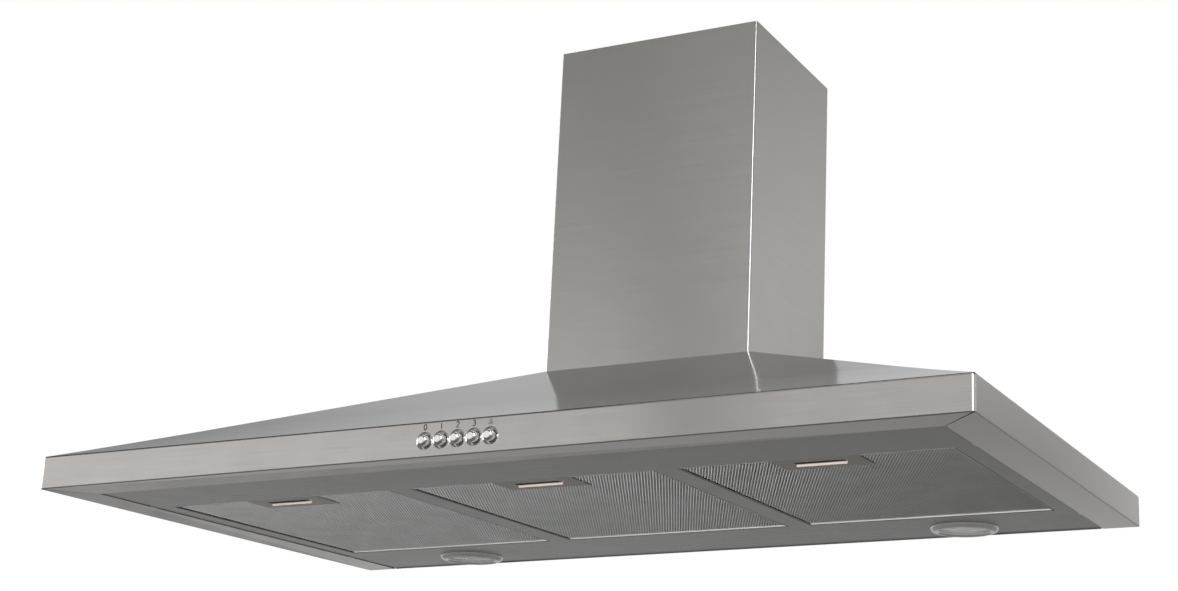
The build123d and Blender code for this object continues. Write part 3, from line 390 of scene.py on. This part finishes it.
def ribbon(points, width, thickness, closed=False):
    """A flat printed stroke along points in the plane, as a closed solid."""
    count = len(points)
    verts, faces = [], []
    for i, (x, z) in enumerate(points):
        before = points[(i - 1) % count] if closed or i else points[i]
        after = points[(i + 1) % count] if closed or i < count - 1 else points[i]
        dx, dz = after[0] - before[0], after[1] - before[1]
        span = math.hypot(dx, dz) or 1.0
        nx, nz = -dz / span * width / 2, dx / span * width / 2
        for y in (0.0, -thickness):
            verts.append((x + nx, y, z + nz))
            verts.append((x - nx, y, z - nz))
    last = count if closed else count - 1
    for i in range(last):
        a, b = 4 * i, 4 * ((i + 1) % count)
        faces += [(a + 2, b + 2, b + 3, a + 3), (a, a + 1, b + 1, b),
                  (a, b, b + 2, a + 2), (a + 1, a + 3, b + 3, b + 1)]
    if not closed:
        end = 4 * (count - 1)
        faces += [(0, 2, 3, 1), (end, end + 1, end + 3, end + 2)]
    return verts, faces


def arc(cx, cz, rx, rz, start, end, steps=14):
    return [(cx + rx * math.cos(math.radians(start + (end - start) * i / steps)),
             cz + rz * math.sin(math.radians(start + (end - start) * i / steps))) for i in range(steps + 1)]


# Symbols printed above the buttons: strokes of points (x, z) in millimetres, and whether each is closed.
GLYPHS = {
    "off": [(arc(0, 0, 1.55, 2.75, 0, 348, 28), True)],
    "speed_1": [([(0, -2.85), (0, 2.85)], False)],
    "speed_2": [(arc(-0.1, 1.35, 1.45, 1.45, 165, -38, 14) + [(-1.55, -2.75), (1.6, -2.75)], False)],
    "speed_3": [(arc(-0.2, 1.45, 1.25, 1.3, 150, -100, 14), False),
                (arc(-0.2, -1.3, 1.5, 1.45, 100, -150, 14), False)],
    "light": [([(0, 2.9), (0, 1.7)], False),
              ([(-0.6, 1.5), (0.6, 1.5), (1.7, -0.7), (-1.7, -0.7)], True),
              ([(-2.0, -1.3), (-2.6, -2.2)], False), ([(2.0, -1.3), (2.6, -2.2)], False),
              ([(-0.7, -1.5), (-0.9, -2.6)], False), ([(0.7, -1.5), (0.9, -2.6)], False)],
}


def symbols():
    ink = moulded("black_ink", (0.012, 0.012, 0.013), 0.45, 2500.0, 0.1)
    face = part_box("fascia_band")[0].y
    rise, scale = 11.7 * MM, 0.88 * MM
    wide_stroke, fine_stroke = 0.85 * MM, 0.6 * MM
    ink_depth, ink_step, clear = 0.03 * MM, 0.006 * MM, 0.01 * MM
    for key, strokes in GLYPHS.items():
        low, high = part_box("button_" + key)
        verts, faces = [], []
        for layer, (points, closed) in enumerate(strokes):
            scaled = [(x * scale, z * scale) for x, z in points]
            width = fine_stroke if key == "light" else wide_stroke
            more, polys = ribbon(scaled, width, ink_depth + ink_step * layer, closed)
            faces += [tuple(len(verts) + i for i in poly) for poly in polys]
            verts += more
        middle = (low + high) / 2
        place_mesh("mark_" + key, verts, faces, HOOD, ink,
                   offset=(middle.x, face - clear, middle.z + rise))


def lathe(profile, segments=96):
    """Verts and faces of a profile (radius, height) turned about Z; a radius of 0 is the pole."""
    verts, faces, rings = [], [], []
    for radius, height in profile:
        if radius < 1e-9:
            rings.append([len(verts)])
            verts.append((0.0, 0.0, height))
        else:
            rings.append(list(range(len(verts), len(verts) + segments)))
            for i in range(segments):
                turn = 2 * math.pi * i / segments
                verts.append((radius * math.cos(turn), radius * math.sin(turn), height))
    for a, b in zip(rings, rings[1:]):
        for i in range(segments):
            j = (i + 1) % segments
            if len(a) == 1:
                faces.append((a[0], b[j], b[i]))
            elif len(b) == 1:
                faces.append((a[i], a[j], b[0]))
            else:
                faces.append((a[i], a[j], b[j], b[i]))
    return verts, faces


def lamp_lenses():
    """Pressed glass: rings of ridges outside, a smooth back, one closed solid."""
    ridges, steps = 13, 6
    ridge_height, bevel = 0.22 * MM, 0.4 * MM
    for side in LAMPS:
        low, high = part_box("lamp_glass_" + side)
        middle = (low + high) / 2
        radius, crown = (high.x - low.x) / 2, -low.z
        profile = [(0.0, -crown)]
        for i in range(1, ridges * steps + 1):
            share = i / (ridges * steps)
            sag = crown * (1 - share * share)
            wave = ridge_height * (0.5 - 0.5 * math.cos(2 * math.pi * share * ridges))
            profile.append((radius * share, -sag + wave * (1 - share ** 8)))
        profile += [(radius, high.z - bevel), (radius - bevel, high.z), (radius * 0.5, high.z),
                    (0.0, high.z)]
        verts, faces = lathe(profile)
        lens = place_mesh("lens_" + side, verts, faces, HOOD, FINISHES["lamp_glass"], True,
                          (middle.x, middle.y, 0.0))
        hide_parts("lamp_glass_" + side)


filter_meshes()
symbols()
lamp_lenses()


# Studio: a pale floor, a grey dome with soft cards, a white backdrop for the camera, and soft boxes.

def area_light(name, place, aim, size, power):
    data = bpy.data.lights.new(name, "AREA")
    data.shape = "RECTANGLE"
    data.size, data.size_y = size
    data.energy = power
    lamp = bpy.data.objects.new(name, data)
    lamp.location = place
    lamp.rotation_mode = "QUATERNION"
    lamp.rotation_quaternion = (Vector(aim) - Vector(place)).to_track_quat("-Z", "Y")
    lamp.visible_camera = False
    bpy.context.scene.collection.objects.link(lamp)
    return lamp


# Greys of the dome by elevation in degrees, in front of the hood and behind it.
AHEAD = ((-90, 0.10), (-30, 0.16), (-14.5, 0.25), (-8, 0.44), (2, 0.86), (12.5, 0.86), (17.5, 0.46),
         (24, 0.24), (34, 0.15), (53, 0.20), (90, 0.32))
BEHIND = ((-90, 0.10), (-30, 0.16), (-14.5, 0.23), (-11.8, 0.315), (-8.5, 0.53), (2, 0.56), (11, 0.62),
          (15, 0.70), (22, 0.50), (34, 0.28), (53, 0.20), (90, 0.32))


def ramp(graph, fac, stops):
    """A smooth run of greys over the elevation."""
    made = graph.node("ValToRGB", {"Fac": fac})
    band = made.color_ramp
    band.interpolation = "EASE"
    while len(band.elements) < len(stops):
        band.elements.new(0.5)
    for element, (degrees, value) in zip(band.elements, stops):
        element.position = (degrees + 90.0) / 180.0
        element.color = shade(value)
    return made.outputs["Color"]


# Soft cards on the dome, in degrees: the azimuth's middle, half width and softness, then the low and high
# elevation and its softness. The azimuth is 0 straight ahead of the hood, 90 on its left and 180 behind it.
# The last value is the grey that the card adds to the dome; a negative one takes light away.
CARDS = (
    ((62.0, 33.5, 0.6), (2.0, 13.0, 3.0), 0.16),
    ((26.6, 1.6, 0.5), (2.0, 13.0, 3.0), -0.50),
    ((23.0, 3.0, 3.5), (2.0, 12.0, 3.0), -0.14),
    ((23.5, 5.0, 2.0), (14.4, 24.0, 3.0), 0.22),
    ((33.5, 4.0, 3.0), (13.5, 20.0, 2.0), -0.11),
    ((129.0, 8.0, 9.0), (14.0, 34.0, 6.0), -0.33),
    ((161.0, 4.0, 6.0), (18.0, 34.0, 6.0), 0.20),
    ((-155.0, 14.0, 6.0), (27.0, 42.0, 4.0), -0.19),
    ((-160.0, 5.0, 2.5), (2.0, 14.0, 3.0), -0.44),
    ((-86.0, 22.0, 8.0), (19.0, 40.0, 4.0), -0.36),
    ((-88.0, 24.0, 6.0), (1.0, 13.0, 3.0), 0.40),
    ((95.0, 20.0, 5.0), (1.0, 20.0, 5.0), 0.55),
)


def ease(graph, value, start, end):
    return graph.node("MapRange", {"Value": value, "From Min": start, "From Max": end},
                      interpolation_type="SMOOTHSTEP").outputs["Result"]


def card(graph, azimuth, elevation, across, upward):
    """A soft-edged mask, 1 inside the card."""
    middle, half, soft = across
    low, high, blur = upward
    away = graph.node("Math", {0: graph.math("SUBTRACT", azimuth, middle), 1: 180.0, 2: -180.0},
                      operation="WRAP").outputs[0]
    off = graph.math("ABSOLUTE", away)
    sideways = ease(graph, off, half + soft, half - soft)
    above = ease(graph, elevation, low - blur, low + blur)
    below = ease(graph, elevation, high + blur, high - blur)
    return graph.math("MULTIPLY", sideways, graph.math("MULTIPLY", above, below))


def studio():
    """A grey dome with a darker top and floor side, soft cards on it, and a white backdrop."""
    world = bpy.data.worlds.new("studio")
    bpy.context.scene.world = world
    world.use_nodes = True
    graph = Graph(world.node_tree)
    way = graph.node("SeparateXYZ", {"Vector": graph.node("TexCoord").outputs["Generated"]})
    left = graph.math("MULTIPLY", way.outputs["X"], -1.0)
    forward = graph.math("MULTIPLY", way.outputs["Y"], -1.0)
    azimuth = graph.math("DEGREES", graph.math("ARCTAN2", left, forward))
    elevation = graph.math("DEGREES", graph.math("ARCSINE", way.outputs["Z"]))
    level = graph.spread(elevation, 0.0, 1.0, -90.0, 90.0)
    ahead = ramp(graph, level, AHEAD)
    behind = ramp(graph, level, BEHIND)
    back_share = ease(graph, graph.math("ABSOLUTE", azimuth), 80.0, 130.0)
    value = graph.node("SeparateColor", {"Color": graph.blend(back_share, ahead, behind)}).outputs[0]
    for across, upward, gain in CARDS:
        mask = card(graph, azimuth, elevation, across, upward)
        value = graph.math("ADD", value, graph.math("MULTIPLY", mask, gain))
    value = graph.math("MAXIMUM", value, 0.02)
    grey = graph.node("CombineColor", {0: value, 1: value, 2: value}).outputs[0]
    dome = graph.node("Background", {"Color": grey, "Strength": 1.0})
    backdrop = graph.node("Background", {"Color": shade(1.0), "Strength": 1.0})
    seen = graph.node("LightPath").outputs["Is Camera Ray"]
    mixed = graph.node("MixShader", {0: seen, 1: dome.outputs[0], 2: backdrop.outputs[0]})
    out = graph.node("OutputWorld")
    world.node_tree.links.new(mixed.outputs[0], out.inputs["Surface"])
    area_light("box_left", (-2.7, -0.2, 0.60), (0, -0.3, 0.1), (1.0, 0.8), 16)
    under = area_light("box_under", (0.3, -1.1, -0.72), (0, -0.25, 0.0), (1.8, 0.6), 21)
    under.visible_glossy = False
    area_light("box_key", (1.2, -2.6, 1.05), (0, -0.25, 0.2), (1.3, 1.2), 36)
    area_light("box_top", (0, -0.2, 2.6), (0, -0.3, 0), (2.6, 2.0), 8)


def floor():
    mesh = bpy.data.meshes.new("studio_floor")
    half, low = 26.0, -0.80
    mesh.from_pydata([(-half, -half, low), (half, -half, low), (half, half, low), (-half, half, low)],
                     [], [(0, 1, 2, 3)])
    plane = bpy.data.objects.new("studio_floor", mesh)
    bpy.context.scene.collection.objects.link(plane)

    def build(graph, shader):
        place = graph.coords()
        drift = graph.noise(place, 1.4, 4.0, 0.5)
        grit = graph.noise(place, 240.0, 2.0)
        feed(graph, shader, Base_Color=graph.blend(drift, shade(0.76), shade(0.80)),
             Roughness=graph.spread(grit, 0.75, 0.9), Normal=graph.bump(grit, 0.05, 0.0005))
    mesh.materials.append(material("floor_paint", build))
    plane.visible_glossy = False


def camera():
    """The photograph's viewpoint, from a fit of the object's corners at its 900 mm width."""
    place = Vector((0.87560, -1.77896, -0.32852))
    yaw, pitch, roll = (math.radians(v) for v in (23.1336, 15.0517, 0.8649))
    focal_px, frame_px, sensor = 1884.61, 1178, 36.0
    look = Vector((-math.sin(yaw) * math.cos(pitch), math.cos(yaw) * math.cos(pitch), math.sin(pitch)))
    level = Vector((math.cos(yaw), math.sin(yaw), 0.0))
    above = level.cross(look)
    right = math.cos(roll) * level + math.sin(roll) * above
    up = -math.sin(roll) * level + math.cos(roll) * above
    data = bpy.data.cameras.new("camera")
    data.sensor_width = sensor
    data.lens = focal_px / frame_px * sensor
    data.shift_x, data.shift_y = -0.20, 0.06
    data.clip_start, data.clip_end = 0.05, 100.0
    eye = bpy.data.objects.new("camera", data)
    eye.matrix_world = Matrix((
        (right.x, up.x, -look.x, place.x),
        (right.y, up.y, -look.y, place.y),
        (right.z, up.z, -look.z, place.z),
        (0.0, 0.0, 0.0, 1.0)))
    bpy.context.scene.collection.objects.link(eye)
    bpy.context.scene.camera = eye


studio()
floor()
camera()
scene = bpy.context.scene
scene.view_settings.view_transform = "Standard"
scene.view_settings.look = "None"

bpy.context.view_layer.update()
